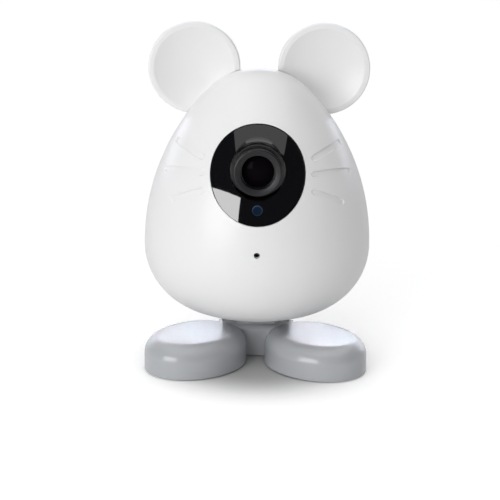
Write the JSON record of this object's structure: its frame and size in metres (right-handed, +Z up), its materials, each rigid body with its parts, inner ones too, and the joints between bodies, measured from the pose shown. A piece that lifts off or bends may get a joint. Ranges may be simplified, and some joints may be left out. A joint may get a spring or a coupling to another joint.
{
  "type": "pet camera",
  "caption": "Egg-shaped indoor pet camera with round dished ears, a dark face window round the lens and a folding arm on a base with splayed oval feet.",
  "frame": {"origin": "on the floor, under the upright axis of the egg-shaped body, with the stand folded", "axes": "+Z up, -Y towards the front where the lens looks, +X to the right of the picture"},
  "size_m": [0.0654, 0.0654, 0.097],
  "materials": {
    "shell_white": "satin white moulding",
    "base_grey": "polished light grey moulding",
    "window_black": "polished black",
    "hood_black": "satin black",
    "barrel_black": "matt black",
    "lens_glass": "coated lens",
    "light_pipe": "smoky light pipe",
    "lamp_clear": "tinted resin",
    "board_green": "solder mask",
    "chip_black": "moulded chip",
    "shield_steel": "tinned sheet",
    "screw_steel": "plated",
    "ballast_steel": "zinc plated",
    "seal_rubber": "soft",
    "pad_rubber": "grey soft pad",
    "button_grey": "fine matt"
  },
  "bodies": {
    "base": {"base_housing": "base_grey", "base_cover": "base_grey", "ballast_plates": "ballast_steel", "foot_pads": "pad_rubber", "base_screws": "screw_steel", "base_hinge_pin": "screw_steel"},
    "arm": {"stand_arm": "base_grey", "friction_washers": "screw_steel"},
    "camera": {"front_shell": "shell_white", "rear_shell": "shell_white", "right_ear": "shell_white", "left_ear": "shell_white", "face_window": "window_black", "status_light": "light_pipe", "lens_hood": "hood_black", "lens_barrel": "barrel_black", "lens_glass": "lens_glass", "rear_lens": "lens_glass", "lens_holder": "barrel_black", "image_sensor": "chip_black", "led_board": "board_green", "infrared_leds": "lamp_clear", "main_board": "board_green", "chip_shield": "shield_steel", "wifi_antenna": "chip_black", "microphone": "shield_steel", "microphone_boot": "seal_rubber", "speaker": "barrel_black", "speaker_gasket": "seal_rubber", "io_board": "board_green", "power_socket": "shield_steel", "card_socket": "shield_steel", "reset_switch": "chip_black", "board_screws": "screw_steel", "shell_screws": "screw_steel", "upper_hinge_pin": "screw_steel"},
    "reset": {"reset_button": "button_grey"}
  },
  "joints": [
    {"name": "stand_lift", "type": "hinge", "parent": "base", "child": "arm", "pos_m": [0, -0.0024, 0.0124], "axis": [1, 0, 0], "range_deg": [0, 64.3]},
    {"name": "camera_level", "type": "hinge", "parent": "arm", "child": "camera", "pos_m": [0, 0.0245, 0.0146], "axis": [1, 0, 0], "range_deg": [-64.3, 0]},
    {"name": "reset_press", "type": "slide", "parent": "camera", "child": "reset", "axis": [0, -1, 0], "range_m": [0, 0.0005], "stiffness_N_per_m": 400, "springref_m": -0.0005}
  ],
  "couplings": [
    {"joint": "camera_level", "follows": "stand_lift", "ratio": -1}
  ]
}
